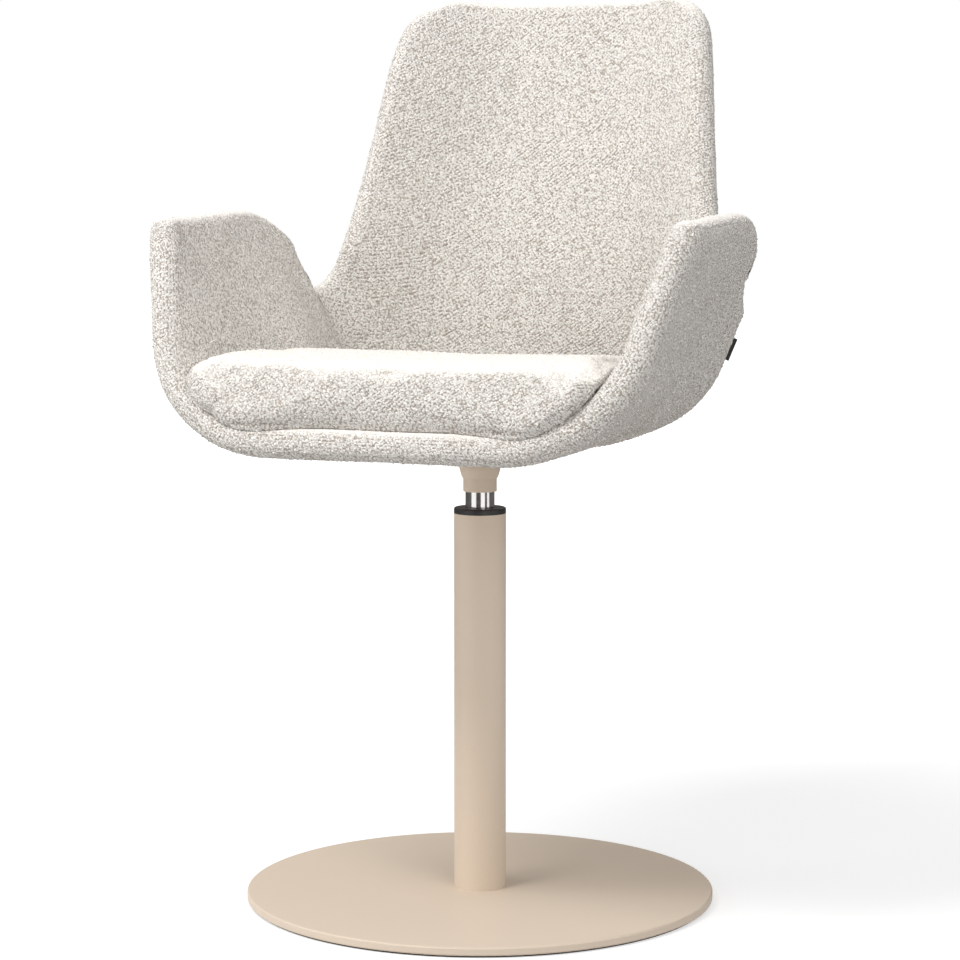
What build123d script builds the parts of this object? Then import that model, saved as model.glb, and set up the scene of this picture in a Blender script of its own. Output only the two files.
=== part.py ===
from build123d import *
from math import cos, pi, radians, sin, sqrt, tan
import os

# Pedestal swivel armchair: a round plate base, a fixed column, and an upholstered bucket
# seat with a loose cushion that turns on a thrust bearing inside the column.
# Millimetres. Origin on the floor on the column's axis, +Z up, the chair faces -Y.

# ---------------------------------------------------------------- driving dimensions
# Fits
press_gap = 0.05        # radial room of a piece that is pressed in or threaded
running_gap = 0.05      # radial room of a turning fit
soft_gap = 0.3          # room round a soft or upholstered layer
loose_gap = 0.3         # radial room of a bolt in a drilled hole

# Base
pad_diameter = 442.0
pad_thickness = 2.0
plate_diameter = 450.0
plate_thickness = 8.0
plate_edge = 1.5        # rounding of the plate's upper and lower edge

# Column
tube_diameter = 50.0
tube_wall = 2.0
tube_length = 364.0
foot_length = 28.0      # steel plug in the foot of the tube
base_bolt_diameter = 12.0
base_bolt_head = 23.0
base_bolt_length = 30.0
base_bolt_key = 8.0     # hexagon key, across flats
base_bolt_key_depth = 4.0
dowel_diameter = 5.0
dowel_in_plate = 5.0
dowel_in_foot = 11.0
dowel_offset = 17.0

# Guide bush in the mouth of the column
bush_flange = 5.5
bush_flange_edge = 1.6
bush_length = 60.0

# Turning spindle
spindle_diameter = 28.0
spindle_show = 15.5     # bright length between bush and collar
spindle_taper = 22.0    # length of the tapered nose
spindle_nose = 26.6     # diameter at the end of the nose
tail_diameter = 10.0
tail_end = 5.0          # pin below the retaining clip
clip_groove = 8.0       # diameter of the pin in the clip's groove
spindle_chamfer = 0.8

# Thrust bearing
bearing_level = 198.0   # top of the bearing seat above the floor
bearing_seat_height = 8.0
race_outer = 28.0
race_inner = 11.0
race_thickness = 1.5
ball_diameter = 5.0
ball_count = 9
ball_circle = 19.6
ball_play = 0.03
cage_outer = 27.0
cage_inner = 12.6
cage_height = 2.4
cage_pocket_gap = 0.1
end_play = 0.35         # axial play between bearing seat and tail washer
washer_outer = 20.0
washer_thickness = 1.5
clip_outer = 17.0
clip_thickness = 1.2
clip_mouth = 6.5

# Hub under the seat
collar_outer = 32.2
collar_length = 13.0
socket_foot_radius = 17.0
socket_top_radius = 20.0
socket_waist = 0.6      # share of the flare that is reached at half height

# Seat plate, in the frame of the seat pan
seat_plate_radius = 84.0
seat_plate_thickness = 3.5
seat_plate_flange = 20.0
seat_plate_depth = 14.0    # from flange to the middle of the dish
seat_plate_floor = 24.0    # radius of the flat middle
seat_bolt_circle = 148.0
seat_bolt_count = 4
seat_bolt_turn = 45.0       # degrees from straight ahead
seat_bolt_diameter = 6.0
seat_bolt_head = 10.5
seat_bolt_head_height = 3.3
seat_bolt_key = 4.0
seat_bolt_key_depth = 2.0
seat_bolt_head_edge = 1.3
seat_washer_outer = 12.0
seat_washer_thickness = 1.2
spacer_outer = 12.0
nut_flange = 18.0
nut_flange_thickness = 1.5
nut_barrel = 8.0

# Bucket shell, measured on the surface halfway through its thickness
pan_front = -238.0
pan_height = 450.5      # on the column's axis
pan_slope = 2.0         # degrees down to the back
bend_start = 62.0
bend_radius = 100.0
recline = 14.7          # degrees of the back from upright
back_top = 854.0
shell_thickness = 28.0
arm_corner = 28.0       # radius of the arm's front upper corner
top_corner = 42.0       # radius of the back's upper corners
core_thickness = 8.0
cover_thickness = 2.0
seam_offset = 9.0       # seam of the two covers, outward of the halfway surface
pan_steps = 6           # ribs along the pan, the bend and the back
bend_steps = 7
back_steps = 7
rim_depths = (0.03, 0.15, 0.5, 1.0)     # ribs through the rounded rim, as shares of its radius
corner_depth = 0.45     # one more rib through each rounded corner, as a share of its radius
corner_room = 10.0      # least length between a corner's last rib and the next one
least_wall = 2.0        # shortest straight end of a rib

# Ribs of the shell: place along the centre line (0 to 1 pan, 1 to 2 bend, 2 to 3 back),
# half width at the rim, rise to the rim, forward lean, corner radius, outward flare
RIBS = (
    (0.00, 251.0, 197.0, -23.0, 120.0, 13.0),   # front rim
    (0.20, 253.0, 189.0, -11.0, 118.0, 19.0),
    (0.50, 251.0, 193.0, -7.0, 122.0, 22.0),    # middle of the arm
    (0.80, 251.0, 196.0, 0.0, 132.0, 27.0),     # highest point of the arm
    (1.00, 240.0, 176.0, 1.0, 130.0, 24.0),
    (1.18, 225.0, 138.0, 8.0, 121.0, 24.0),
    (1.37, 219.0, 110.0, 11.0, 105.0, 24.0),    # valley between arm and back
    (1.75, 200.0, 98.0, 17.0, 94.0, 31.0),
    (2.03, 188.0, 89.0, 25.0, 92.0, 38.0),
    (2.22, 179.0, 70.0, 38.0, 110.0, 48.0),
    (2.50, 167.0, 57.0, 49.0, 129.0, 55.0),     # middle of the back
    (2.78, 157.0, 48.0, 62.0, 139.0, 60.0),
    (3.00, 144.0, 34.0, 75.0, 139.0, 60.0),     # top of the back
)

# Loose cushion, in the frame of the seat pan
cushion_skin = 1.6
cushion_steps = 14
# Outlines of the cushion: height over the shell's lining, front edge, back edge,
# half width at the front, half width at the back, front corner, back corner
CUSHION = (
    (0.5, -222.0, 58.0, 103.0, 68.0, 26.0, 44.0),
    (6.0, -238.0, 88.0, 135.0, 97.0, 25.0, 64.0),
    (15.0, -247.0, 106.0, 160.0, 117.0, 24.0, 75.0),
    (27.0, -250.0, 120.0, 178.0, 134.0, 24.0, 83.0),
    (39.0, -246.0, 129.0, 190.0, 145.0, 25.0, 85.0),
    (50.0, -234.0, 134.0, 195.0, 151.0, 30.0, 85.0),
    (59.0, -206.0, 122.0, 188.0, 144.0, 42.0, 78.0),
    (65.0, -150.0, 84.0, 150.0, 112.0, 52.0, 62.0),
)

# Bare textile tab in the seam behind the sitter's left arm
tab_length = 24.0
tab_reach = 8.0
tab_thickness = 1.6
tab_place = 1.5         # place along the ribs
tab_drop = 25.0         # below the rim, along the rib

# ---------------------------------------------------------------- worked-out levels
plate_low = pad_thickness
plate_top = plate_low + plate_thickness
tube_top = plate_top + tube_length
tube_bore = tube_diameter - 2 * tube_wall
bush_top = tube_top + bush_flange
collar_low = bush_top + spindle_show
collar_top = collar_low + collar_length
taper_low = collar_top
spindle_top = taper_low + spindle_taper
race_gap = ball_diameter + 2 * ball_play
ball_level = bearing_level + race_thickness + race_gap / 2
shoulder = bearing_level + 2 * race_thickness + race_gap
washer_top = bearing_level - bearing_seat_height - end_play
clip_top = washer_top - washer_thickness
tail_low = clip_top - clip_thickness - tail_end
half = shell_thickness / 2


# ---------------------------------------------------------------- helpers
def rod(diameter, low, high):
    """Round bar on the column's axis."""
    standing = (Align.CENTER, Align.CENTER, Align.MIN)
    return Pos(0, 0, low) * Cylinder(diameter / 2, high - low, align=standing)


def ring(outer, inner, low, high):
    """Flat ring or sleeve on the column's axis."""
    return rod(outer, low, high) - rod(inner, low - 1, high + 1)


def turned(*corners):
    """Solid of revolution about the column's axis from (radius, height) corners."""
    outline = Polyline(*[(radius, height) for radius, height in corners], close=True)
    return revolve(Plane.XZ * make_face(outline), Axis.Z)


def around(count, circle, turn=0.0):
    """Places evenly spread on a circle of the given diameter."""
    return PolarLocations(circle / 2, count, start_angle=turn)


def group(places, piece):
    """Copies of one piece as separate solids."""
    return Compound(children=[place * piece for place in places])


# ---------------------------------------------------------------- base and column
def make_floor_pad():
    return rod(pad_diameter, 0, pad_thickness)


def base_bolt_cone(room):
    """Countersunk head, as a cone from the plate's lower face to the shank."""
    head = base_bolt_head / 2 + room
    shank = base_bolt_diameter / 2 + room
    neck = plate_low + head - shank
    return turned((0, plate_low), (head, plate_low), (shank, neck), (0, neck))


def dowel(room, high):
    """Pin that keeps the column from turning on the plate, or the hole for it."""
    return Pos(0, dowel_offset, 0) * rod(dowel_diameter + 2 * room, plate_top - dowel_in_plate, high)


def make_base_plate():
    plate = rod(plate_diameter, plate_low, plate_top)
    plate = fillet(plate.edges(), plate_edge)
    plate -= rod(base_bolt_diameter + 2 * loose_gap, plate_low - 1, plate_top + 1)
    plate -= base_bolt_cone(loose_gap)
    return plate - dowel(press_gap, plate_top + 1)


def make_column_tube():
    return ring(tube_diameter, tube_bore, plate_top, tube_top)


def make_column_foot():
    thread = base_bolt_diameter + 2 * press_gap
    foot = ring(tube_bore - 2 * press_gap, thread, plate_top, plate_top + foot_length)
    return foot - dowel(press_gap, plate_top + dowel_in_foot)


def make_base_bolt():
    bolt = base_bolt_cone(0) + rod(base_bolt_diameter, plate_low, plate_low + base_bolt_length)
    key = Pos(0, 0, plate_low) * extrude(RegularPolygon(base_bolt_key / sqrt(3), 6), base_bolt_key_depth)
    return bolt - key


def make_base_dowel():
    return dowel(0, plate_top + dowel_in_foot)


def make_guide_bush():
    sleeve = tube_bore / 2 - press_gap
    bore = spindle_diameter / 2 + running_gap
    rim = tube_diameter / 2
    bush = turned(
        (bore, tube_top - bush_length),
        (sleeve, tube_top - bush_length),
        (sleeve, tube_top),
        (rim, tube_top),
        (rim, bush_top),
        (bore, bush_top),
    )
    rims = bush.edges().filter_by(GeomType.CIRCLE).filter_by(lambda edge: edge.radius > sleeve)
    return fillet(rims.sort_by(Axis.Z)[-1], bush_flange_edge)


# ---------------------------------------------------------------- bearing and spindle
def make_bearing_seat():
    low = bearing_level - bearing_seat_height
    return ring(tube_bore - 2 * press_gap, tail_diameter + 2 * running_gap, low, bearing_level)


def make_race(low):
    return ring(race_outer, race_inner, low, low + race_thickness)


def make_bearing_balls():
    return group(around(ball_count, ball_circle), Pos(0, 0, ball_level) * Sphere(ball_diameter / 2))


def make_bearing_cage():
    cage = ring(cage_outer, cage_inner, ball_level - cage_height / 2, ball_level + cage_height / 2)
    pocket = rod(ball_diameter + 2 * cage_pocket_gap, ball_level - cage_height, ball_level + cage_height)
    for place in around(ball_count, ball_circle):
        cage -= place * pocket
    return cage


def make_spindle():
    body = spindle_diameter / 2
    nose = spindle_nose / 2
    tail = tail_diameter / 2
    groove = clip_groove / 2
    return turned(
        (0, tail_low),
        (tail - spindle_chamfer, tail_low),
        (tail, tail_low + spindle_chamfer),
        (tail, clip_top - clip_thickness),
        (groove, clip_top - clip_thickness),
        (groove, clip_top),
        (tail, clip_top),
        (tail, shoulder),
        (body - spindle_chamfer, shoulder),
        (body, shoulder + spindle_chamfer),
        (body, taper_low),
        (nose, spindle_top - spindle_chamfer),
        (nose - spindle_chamfer, spindle_top),
        (0, spindle_top),
    )


def make_tail_washer():
    return ring(washer_outer, tail_diameter + 2 * running_gap, clip_top, washer_top)


def make_retaining_clip():
    clip = ring(clip_outer, clip_groove + 2 * press_gap, clip_top - clip_thickness, clip_top)
    mouth = Pos(0, clip_outer / 2, clip_top) * Box(clip_mouth, clip_outer, 4 * clip_thickness)
    return clip - mouth


# ---------------------------------------------------------------- hub and seat plate
flange_top = -half - soft_gap
flange_low = flange_top - seat_plate_thickness
dish_low = flange_low - seat_plate_depth
dish_top = dish_low + seat_plate_thickness
slope = radians(pan_slope)
hub_level = pan_height + dish_low / cos(slope)
# Frame of the seat pan: on its halfway surface, square to it, over the hub's end on the column's axis
seat_frame = Plane(
    origin=(0, -dish_low * sin(slope), hub_level - dish_low * cos(slope)),
    x_dir=(1, 0, 0),
    z_dir=(0, sin(slope), cos(slope)),
)


def make_hub_collar():
    return ring(collar_outer, spindle_diameter + 2 * press_gap, collar_low, collar_top)


def make_hub_socket():
    """Flared socket, bored for the spindle's nose and cut off under the sloping seat plate."""
    body = spindle_diameter / 2 + press_gap
    nose = spindle_nose / 2 + press_gap
    waist = (
        socket_foot_radius + (socket_top_radius - socket_foot_radius) * socket_waist,
        (collar_top + hub_level) / 2,
    )
    flare = Polyline((body, collar_top), (socket_foot_radius, collar_top))
    flare += ThreePointArc((socket_foot_radius, collar_top), waist, (socket_top_radius, hub_level))
    flare += Polyline(
        (socket_top_radius, hub_level),
        (socket_top_radius, spindle_top),
        (nose, spindle_top),
        (body, collar_top),
    )
    socket = revolve(Plane.XZ * make_face(flare), Axis.Z)
    return socket - seat_frame * rod(4 * socket_top_radius, dish_low, dish_low + 2 * spindle_taper)


def make_seat_plate():
    hole = spindle_diameter / 2 + loose_gap
    rim = seat_plate_radius
    inner = rim - seat_plate_flange
    floor = seat_plate_floor
    plate = turned(
        (hole, dish_low),
        (floor, dish_low),
        (inner, flange_low),
        (rim, flange_low),
        (rim, flange_top),
        (inner - seat_plate_thickness / 2, flange_top),
        (floor - seat_plate_thickness / 2, dish_top),
        (hole, dish_top),
    )
    holes = rod(seat_bolt_diameter + 2 * loose_gap, flange_low - 1, flange_top + 1)
    for place in around(seat_bolt_count, seat_bolt_circle, seat_bolt_turn):
        plate -= place * holes
    return seat_frame * plate


def seat_fastening(piece):
    """One copy of a piece at each seat bolt, in the frame of the pan."""
    places = around(seat_bolt_count, seat_bolt_circle, seat_bolt_turn)
    return group([seat_frame.location * place for place in places], piece)


def make_seat_bolts():
    seat = flange_low - seat_washer_thickness
    end = core_thickness / 2 + soft_gap + nut_flange_thickness
    head = rod(seat_bolt_head, seat - seat_bolt_head_height, seat)
    head = fillet(head.edges().sort_by(Axis.Z)[0], seat_bolt_head_edge)
    key = extrude(RegularPolygon(seat_bolt_key / sqrt(3), 6), seat_bolt_key_depth)
    bolt = head + rod(seat_bolt_diameter, seat, end) - Pos(0, 0, seat - seat_bolt_head_height) * key
    return seat_fastening(bolt)


def make_seat_washers():
    low = flange_low - seat_washer_thickness
    return seat_fastening(ring(seat_washer_outer, seat_bolt_diameter + 2 * loose_gap, low, flange_low))


def make_seat_spacers():
    top = -core_thickness / 2 - soft_gap
    return seat_fastening(ring(spacer_outer, seat_bolt_diameter + 2 * loose_gap, flange_top, top))


def make_tee_nuts():
    bore = seat_bolt_diameter + 2 * press_gap
    seat = core_thickness / 2 + soft_gap
    barrel = ring(nut_barrel, bore, seat - core_thickness, seat)
    flange = ring(nut_flange, bore, seat, seat + nut_flange_thickness)
    return seat_fastening(barrel + flange)


# ---------------------------------------------------------------- bucket shell
upright = radians(90 - recline)
pan_length = (bend_start - pan_front) / cos(slope)
bend_length = bend_radius * (upright + slope)
front_height = pan_height - pan_front * tan(slope)
bend_height = front_height - pan_length * sin(slope)
back_foot = (
    bend_start + bend_radius * (sin(upright) + sin(slope)),
    bend_height + bend_radius * (cos(slope) - cos(upright)),
)
back_length = (back_top - back_foot[1]) / sin(upright)
line_length = pan_length + bend_length + back_length


def centre_line(s):
    """(y, z) of the shell's centre line at the length s from the front edge."""
    if s < pan_length:
        return pan_front + s * cos(slope), front_height - s * sin(slope)
    if s < pan_length + bend_length:
        turn = (s - pan_length) / bend_radius - slope
        return (
            bend_start + bend_radius * (sin(turn) + sin(slope)),
            bend_height + bend_radius * (cos(slope) - cos(turn)),
        )
    up = s - pan_length - bend_length
    return back_foot[0] + up * cos(upright), back_foot[1] + up * sin(upright)


def place_length(place):
    """Length along the centre line of a rib's place."""
    if place <= 1:
        return place * pan_length
    if place <= 2:
        return pan_length + (place - 1) * bend_length
    return pan_length + bend_length + (place - 2) * back_length


def slopes(xs, ys):
    """Slopes at the points of a curve that keeps the points' own rise and fall."""
    steps = [b - a for a, b in zip(xs, xs[1:])]
    rises = [(b - a) / step for a, b, step in zip(ys, ys[1:], steps)]
    result = [rises[0]]
    for i in range(1, len(rises)):
        before, after = rises[i - 1], rises[i]
        if before * after <= 0:
            result.append(0.0)
            continue
        near = 2 * steps[i] + steps[i - 1]
        far = steps[i] + 2 * steps[i - 1]
        result.append((near + far) / (near / before + far / after))
    return result + [rises[-1]]


def curve(xs, ys):
    """Smooth function through points, constant beyond its ends."""
    tangents = slopes(xs, ys)

    def value(x):
        x = min(max(x, xs[0]), xs[-1])
        i = max(k for k in range(len(xs) - 1) if xs[k] <= x)
        step = xs[i + 1] - xs[i]
        q = (x - xs[i]) / step
        return (
            ys[i] * (1 + 2 * q) * (1 - q) ** 2
            + ys[i + 1] * q * q * (3 - 2 * q)
            + step * (tangents[i] * q * (1 - q) ** 2 + tangents[i + 1] * q * q * (q - 1))
        )

    return value


rib_lengths = [place_length(rib[0]) for rib in RIBS]
half_width, rise, lean, corner, flare = (curve(rib_lengths, [rib[k] for rib in RIBS]) for k in range(1, 6))


def quarter(depth, radius):
    """How far a quarter circle still falls short of its side at a depth from its end."""
    return radius - sqrt(max(radius**2 - (radius - min(depth, radius)) ** 2, 0))


def rib_shape(s, shorten=0.0):
    """Half of a rib's halfway line: flat half width, corner radius, corner angle, wall length."""
    radius = corner(s)
    angle = radians(90 - flare(s))
    wall = (rise(s) - radius * (1 - cos(angle))) / sin(angle)
    flat = half_width(s) - radius * sin(angle) - wall * cos(angle)
    wall -= shorten
    if wall < least_wall:
        angle -= (least_wall - wall) / radius
        wall = least_wall
    return flat, radius, angle, wall


def rib_plane(s):
    y, z = centre_line(s)
    tip = radians(lean(s))
    return Plane(origin=(0, y, z), x_dir=(1, 0, 0), z_dir=(0, -cos(tip), -sin(tip)))


def rib_points(shape, offset):
    """Flat's end, mid corner, corner's end and wall's end of a rib offset toward the sitter."""
    flat, radius, angle, wall = shape
    inner = radius - offset

    def on_corner(turn):
        return flat + inner * sin(turn), radius - inner * cos(turn)

    end = on_corner(angle)
    tip = (end[0] + wall * cos(angle), end[1] + wall * sin(angle))
    return (flat, offset), on_corner(angle / 2), end, tip


def rib_wire(s, right_edges):
    """Closed rib from the edges of its right half, given as lists of 2 or 3 points."""
    plane = rib_plane(s)

    def edge(points):
        placed = [plane.from_local_coords(Vector(x, y, 0)) for x, y in points]
        return Edge.make_line(*placed) if len(placed) == 2 else Edge.make_three_point_arc(*placed)

    def mirrored(points):
        return [(-x, y) for x, y in points]

    low = right_edges[0][0]
    high = right_edges[-1][-1]
    edges = [edge([(-low[0], low[1]), low])]
    edges += [edge(points) for points in right_edges]
    edges += [edge([high, (-high[0], high[1])])]
    edges += [edge(mirrored(points)[::-1]) for points in reversed(right_edges)]
    return Wire(edges)


def shell_rib(s, inset):
    """Section of the shell with all its faces moved inward by the inset."""
    reach = half - inset
    from_front = s + reach
    from_top = line_length + reach - s
    thick = reach - quarter(min(from_front, from_top), reach)
    cut = quarter(from_front, arm_corner + reach) + quarter(from_top, top_corner + reach)
    shape = rib_shape(s, cut - reach + thick)
    angle = shape[2]
    low, low_mid, low_end, low_tip = rib_points(shape, -thick)
    high, high_mid, high_end, high_tip = rib_points(shape, thick)
    middle = ((low_tip[0] + high_tip[0]) / 2, (low_tip[1] + high_tip[1]) / 2)

    def on_rim(turn):
        along, across = thick * cos(turn), thick * sin(turn)
        return (
            middle[0] + along * cos(angle) - across * sin(angle),
            middle[1] + along * sin(angle) + across * cos(angle),
        )

    return rib_wire(s, [
        [low, low_mid, low_end],
        [low_end, low_tip],
        [low_tip, on_rim(-pi / 4), on_rim(0)],
        [on_rim(0), on_rim(pi / 4), high_tip],
        [high_tip, high_end],
        [high_end, high_mid, high],
    ])


def stations(low, high):
    """Lengths of the ribs between two ends, closest together in the bend."""
    corners = (0.0, pan_length, pan_length + bend_length, line_length)
    lengths = []
    for start, end, steps in zip(corners, corners[1:], (pan_steps, bend_steps, back_steps)):
        lengths += [start + (end - start) * step / steps for step in range(steps)]
    return [s for s in lengths if low < s < high]


def shell_body(inset):
    """The shell with all its faces moved inward by the inset, rounded all round its rim."""
    reach = half - inset
    ends = [share * reach for share in rim_depths]
    front = [depth - reach for depth in ends] + [corner_depth * arm_corner, arm_corner]
    back = [line_length + reach - depth for depth in ends]
    back += [line_length - corner_depth * top_corner, line_length - top_corner]
    between = stations(front[-1] + corner_room, back[-1] - corner_room)
    return Solid.make_loft([shell_rib(s, inset) for s in sorted(front + between + back)], ruled=True)


def seam_side():
    """Everything on the sitter's side of the seam between the two covers."""
    beyond = 6.0
    depth = 20.0
    lengths = [-half - beyond] + stations(-1, line_length) + [line_length + half + beyond]

    def rib(s):
        shape = rib_shape(s, -half - beyond)
        low, low_mid, low_end, low_tip = rib_points(shape, -seam_offset)
        high, high_mid, high_end, high_tip = rib_points(shape, depth)
        return rib_wire(s, [
            [low, low_mid, low_end],
            [low_end, low_tip],
            [low_tip, high_tip],
            [high_tip, high_end],
            [high_end, high_mid, high],
        ])

    return Solid.make_loft([rib(s) for s in lengths], ruled=True)


def at_seat_bolts(diameter, low, high):
    return seat_fastening(rod(diameter, low, high))


def make_shell_core():
    return shell_body(half - core_thickness / 2) - at_seat_bolts(nut_barrel + 2 * press_gap, -half, half)


def make_shell_foam():
    hollow = shell_body(half - core_thickness / 2 - soft_gap)
    foam = shell_body(cover_thickness + soft_gap) - hollow
    over_nut = core_thickness / 2 + nut_flange_thickness + 2 * soft_gap
    foam -= at_seat_bolts(spacer_outer + 2 * soft_gap, -half - 1, 0)
    return foam - at_seat_bolts(nut_flange + 2 * soft_gap, 0, over_nut)


def make_covers():
    """The fabric inside and over the rim, and the fabric outside, sewn together on the rim's outer flank."""
    skin = shell_body(0) - shell_body(cover_thickness)
    side = seam_side()
    outside = skin - side - at_seat_bolts(spacer_outer + 2 * soft_gap, -half - 1, 0)
    return skin & side, outside


def make_label_tab():
    """Bare folded tab that stands out of the seam behind the sitter's left arm."""
    s = place_length(tab_place)
    low_end, low_tip = rib_points(rib_shape(s), -half)[2:]
    down = Vector(low_end[0] - low_tip[0], low_end[1] - low_tip[1]).normalized()
    outward = Vector(-down.Y, down.X)
    top = Vector(*low_tip) + down * tab_drop - outward * tab_thickness
    reach = outward * (tab_reach + tab_thickness)
    corners = [top, top + down * tab_length, top + down * tab_length + reach, top + reach]
    placed = [rib_plane(s).from_local_coords(point) for point in corners]
    tab = extrude(Face(Wire(Polyline(*placed, close=True).edges())), tab_thickness / 2, both=True)
    return tab - shell_body(-soft_gap)


# ---------------------------------------------------------------- cushion
def cushion_outline(level, inset):
    """Outline of the cushion at one level, drawn in by the inset."""
    height, front, back, front_half, back_half, front_round, back_round = level
    front += inset
    back -= inset
    front_half -= inset
    back_half -= inset
    front_round -= inset / 2
    back_round -= inset / 2
    diagonal = 1 - sqrt(0.5)
    front_start = (front_half - front_round, front)
    front_middle = (front_half - diagonal * front_round, front + diagonal * front_round)
    front_end = (front_half, front + front_round)
    back_start = (back_half, back - back_round)
    back_middle = (back_half - diagonal * back_round, back - diagonal * back_round)
    back_end = (back_half - back_round, back)
    right = [
        [front_start, front_middle, front_end],
        [front_end, back_start],
        [back_start, back_middle, back_end],
    ]

    def edge(points):
        placed = [seat_frame.from_local_coords(Vector(x, y, half + height)) for x, y in points]
        return Edge.make_line(*placed) if len(placed) == 2 else Edge.make_three_point_arc(*placed)

    def mirrored(points):
        return [(-x, y) for x, y in points]

    edges = [edge(mirrored(right[0][:1]) + right[0][:1])]
    edges += [edge(points) for points in right]
    edges += [edge(right[-1][-1:] + mirrored(right[-1][-1:]))]
    edges += [edge(mirrored(points)[::-1]) for points in reversed(right)]
    return Wire(edges)


def cushion_body(inset):
    """Crowned pillow with drawn-in sides."""
    heights = [level[0] for level in CUSHION]
    sizes = [curve(heights, [level[k] for level in CUSHION]) for k in range(1, 7)]
    lowest = heights[0] + inset
    rise_of_pillow = heights[-1] - inset - lowest

    def outline(step):
        # closer together near the flat faces, where the sides turn fastest
        share = (1 - cos(pi * step / cushion_steps)) / 2
        level = heights[0] + share * (heights[-1] - heights[0])
        return cushion_outline((lowest + share * rise_of_pillow, *(size(level) for size in sizes)), inset)

    return Solid.make_loft([outline(step) for step in range(cushion_steps + 1)], ruled=True)


def make_cushion_cover():
    return cushion_body(0) - cushion_body(cushion_skin)


def make_cushion_foam():
    return cushion_body(cushion_skin + soft_gap)


# ---------------------------------------------------------------- the whole chair
cover_inside, cover_outside = make_covers()
pieces = {
    "floor_pad": make_floor_pad(),
    "base_plate": make_base_plate(),
    "column_tube": make_column_tube(),
    "column_foot": make_column_foot(),
    "base_bolt": make_base_bolt(),
    "base_dowel": make_base_dowel(),
    "guide_bush": make_guide_bush(),
    "bearing_seat": make_bearing_seat(),
    "thrust_race_lower": make_race(bearing_level),
    "thrust_race_upper": make_race(bearing_level + race_thickness + race_gap),
    "bearing_balls": make_bearing_balls(),
    "bearing_cage": make_bearing_cage(),
    "spindle": make_spindle(),
    "tail_washer": make_tail_washer(),
    "retaining_clip": make_retaining_clip(),
    "hub_collar": make_hub_collar(),
    "hub_socket": make_hub_socket(),
    "seat_plate": make_seat_plate(),
    "seat_bolts": make_seat_bolts(),
    "seat_washers": make_seat_washers(),
    "seat_spacers": make_seat_spacers(),
    "tee_nuts": make_tee_nuts(),
    "shell_core": make_shell_core(),
    "shell_foam": make_shell_foam(),
    "cover_inside": cover_inside,
    "cover_outside": cover_outside,
    "cushion_foam": make_cushion_foam(),
    "cushion_cover": make_cushion_cover(),
    "label_tab": make_label_tab(),
}

os.makedirs("parts", exist_ok=True)
for name, piece in pieces.items():
    export_step(piece, f"parts/{name}.step")
    print(name, len(piece.solids()), round(piece.volume / 1000, 2), "cm3")
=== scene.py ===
# %% [markdown]
# # A swivel armchair on a disc base
# The chair is an upholstered bucket with a loose cushion. It turns on a bright spindle in a painted
# column that stands on a painted steel disc. The engineering model of every part is loaded first and
# never moved. Each step after it gives one part its look: where the engineered shape is the real one,
# it only gets a finish, and where the real part is soft, a modelled piece takes its place.

# %% Load the engineered chair
from math import cos, pi, radians, sin, tan

import bmesh
import bpy
import numpy as np
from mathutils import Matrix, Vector, noise
from mathutils.bvhtree import BVHTree


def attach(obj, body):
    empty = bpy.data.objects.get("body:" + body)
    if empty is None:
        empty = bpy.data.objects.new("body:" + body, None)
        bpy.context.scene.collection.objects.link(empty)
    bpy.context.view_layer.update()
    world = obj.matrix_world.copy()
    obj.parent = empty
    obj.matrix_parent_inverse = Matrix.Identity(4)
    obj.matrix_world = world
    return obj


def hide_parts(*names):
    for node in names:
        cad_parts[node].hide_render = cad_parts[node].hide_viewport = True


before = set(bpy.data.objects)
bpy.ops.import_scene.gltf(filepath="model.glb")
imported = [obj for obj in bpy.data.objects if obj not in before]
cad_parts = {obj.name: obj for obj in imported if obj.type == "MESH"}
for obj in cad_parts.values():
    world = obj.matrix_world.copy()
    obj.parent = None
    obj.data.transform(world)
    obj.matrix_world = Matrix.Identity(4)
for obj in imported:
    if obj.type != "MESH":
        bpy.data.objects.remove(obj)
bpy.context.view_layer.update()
MM = 0.001

# %% [markdown]
# ## The photograph's camera
# The disc's ellipse fixes how far the camera looks down, and the way the arms overlap fixes how far it
# stands round to the side. A long lens keeps the chair's upright lines nearly parallel, as in the photo.

# %% Place the camera
long_lens = 107.0
film_width = 36.0
camera_place = (0.9936, -2.5224, 0.700)
look_down = 6.2
round_to_side = 21.5
camera_data = bpy.data.cameras.new("photo_camera")
camera_data.lens = long_lens
camera_data.sensor_width = film_width
camera = bpy.data.objects.new("photo_camera", camera_data)
camera.location = camera_place
camera.rotation_euler = (radians(90 - look_down), 0, radians(round_to_side))
bpy.context.scene.collection.objects.link(camera)
bpy.context.scene.camera = camera
print("camera is", round(camera.location.length, 2), "m from the middle of the floor disc")

# %% [markdown]
# ## Helpers for materials
# A material is a tree of nodes. The helper adds one node and fills its inputs: a plain value is typed
# in, and an output of another node is linked. A node group is a tree that several materials share.


# %% Node helpers
def node(tree, kind, inputs=None, **settings):
    """Adds a node. Its inputs are values or outputs of other nodes, by name or place."""
    made = tree.nodes.new(kind)
    for name, value in settings.items():
        setattr(made, name, value)
    for name, value in (inputs or {}).items():
        if isinstance(value, bpy.types.NodeSocket):
            tree.links.new(value, made.inputs[name])
        else:
            made.inputs[name].default_value = value
    return made


def math_node(tree, operation, first, second=0.0, clamp=False):
    inputs = {0: first, 1: second}
    return node(tree, "ShaderNodeMath", inputs, operation=operation, use_clamp=clamp).outputs[0]


def vector_math(tree, operation, first, second=(0, 0, 0), scale=1.0):
    inputs = {0: first, 1: second, 3: scale}
    return node(tree, "ShaderNodeVectorMath", inputs, operation=operation).outputs[0]


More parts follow.
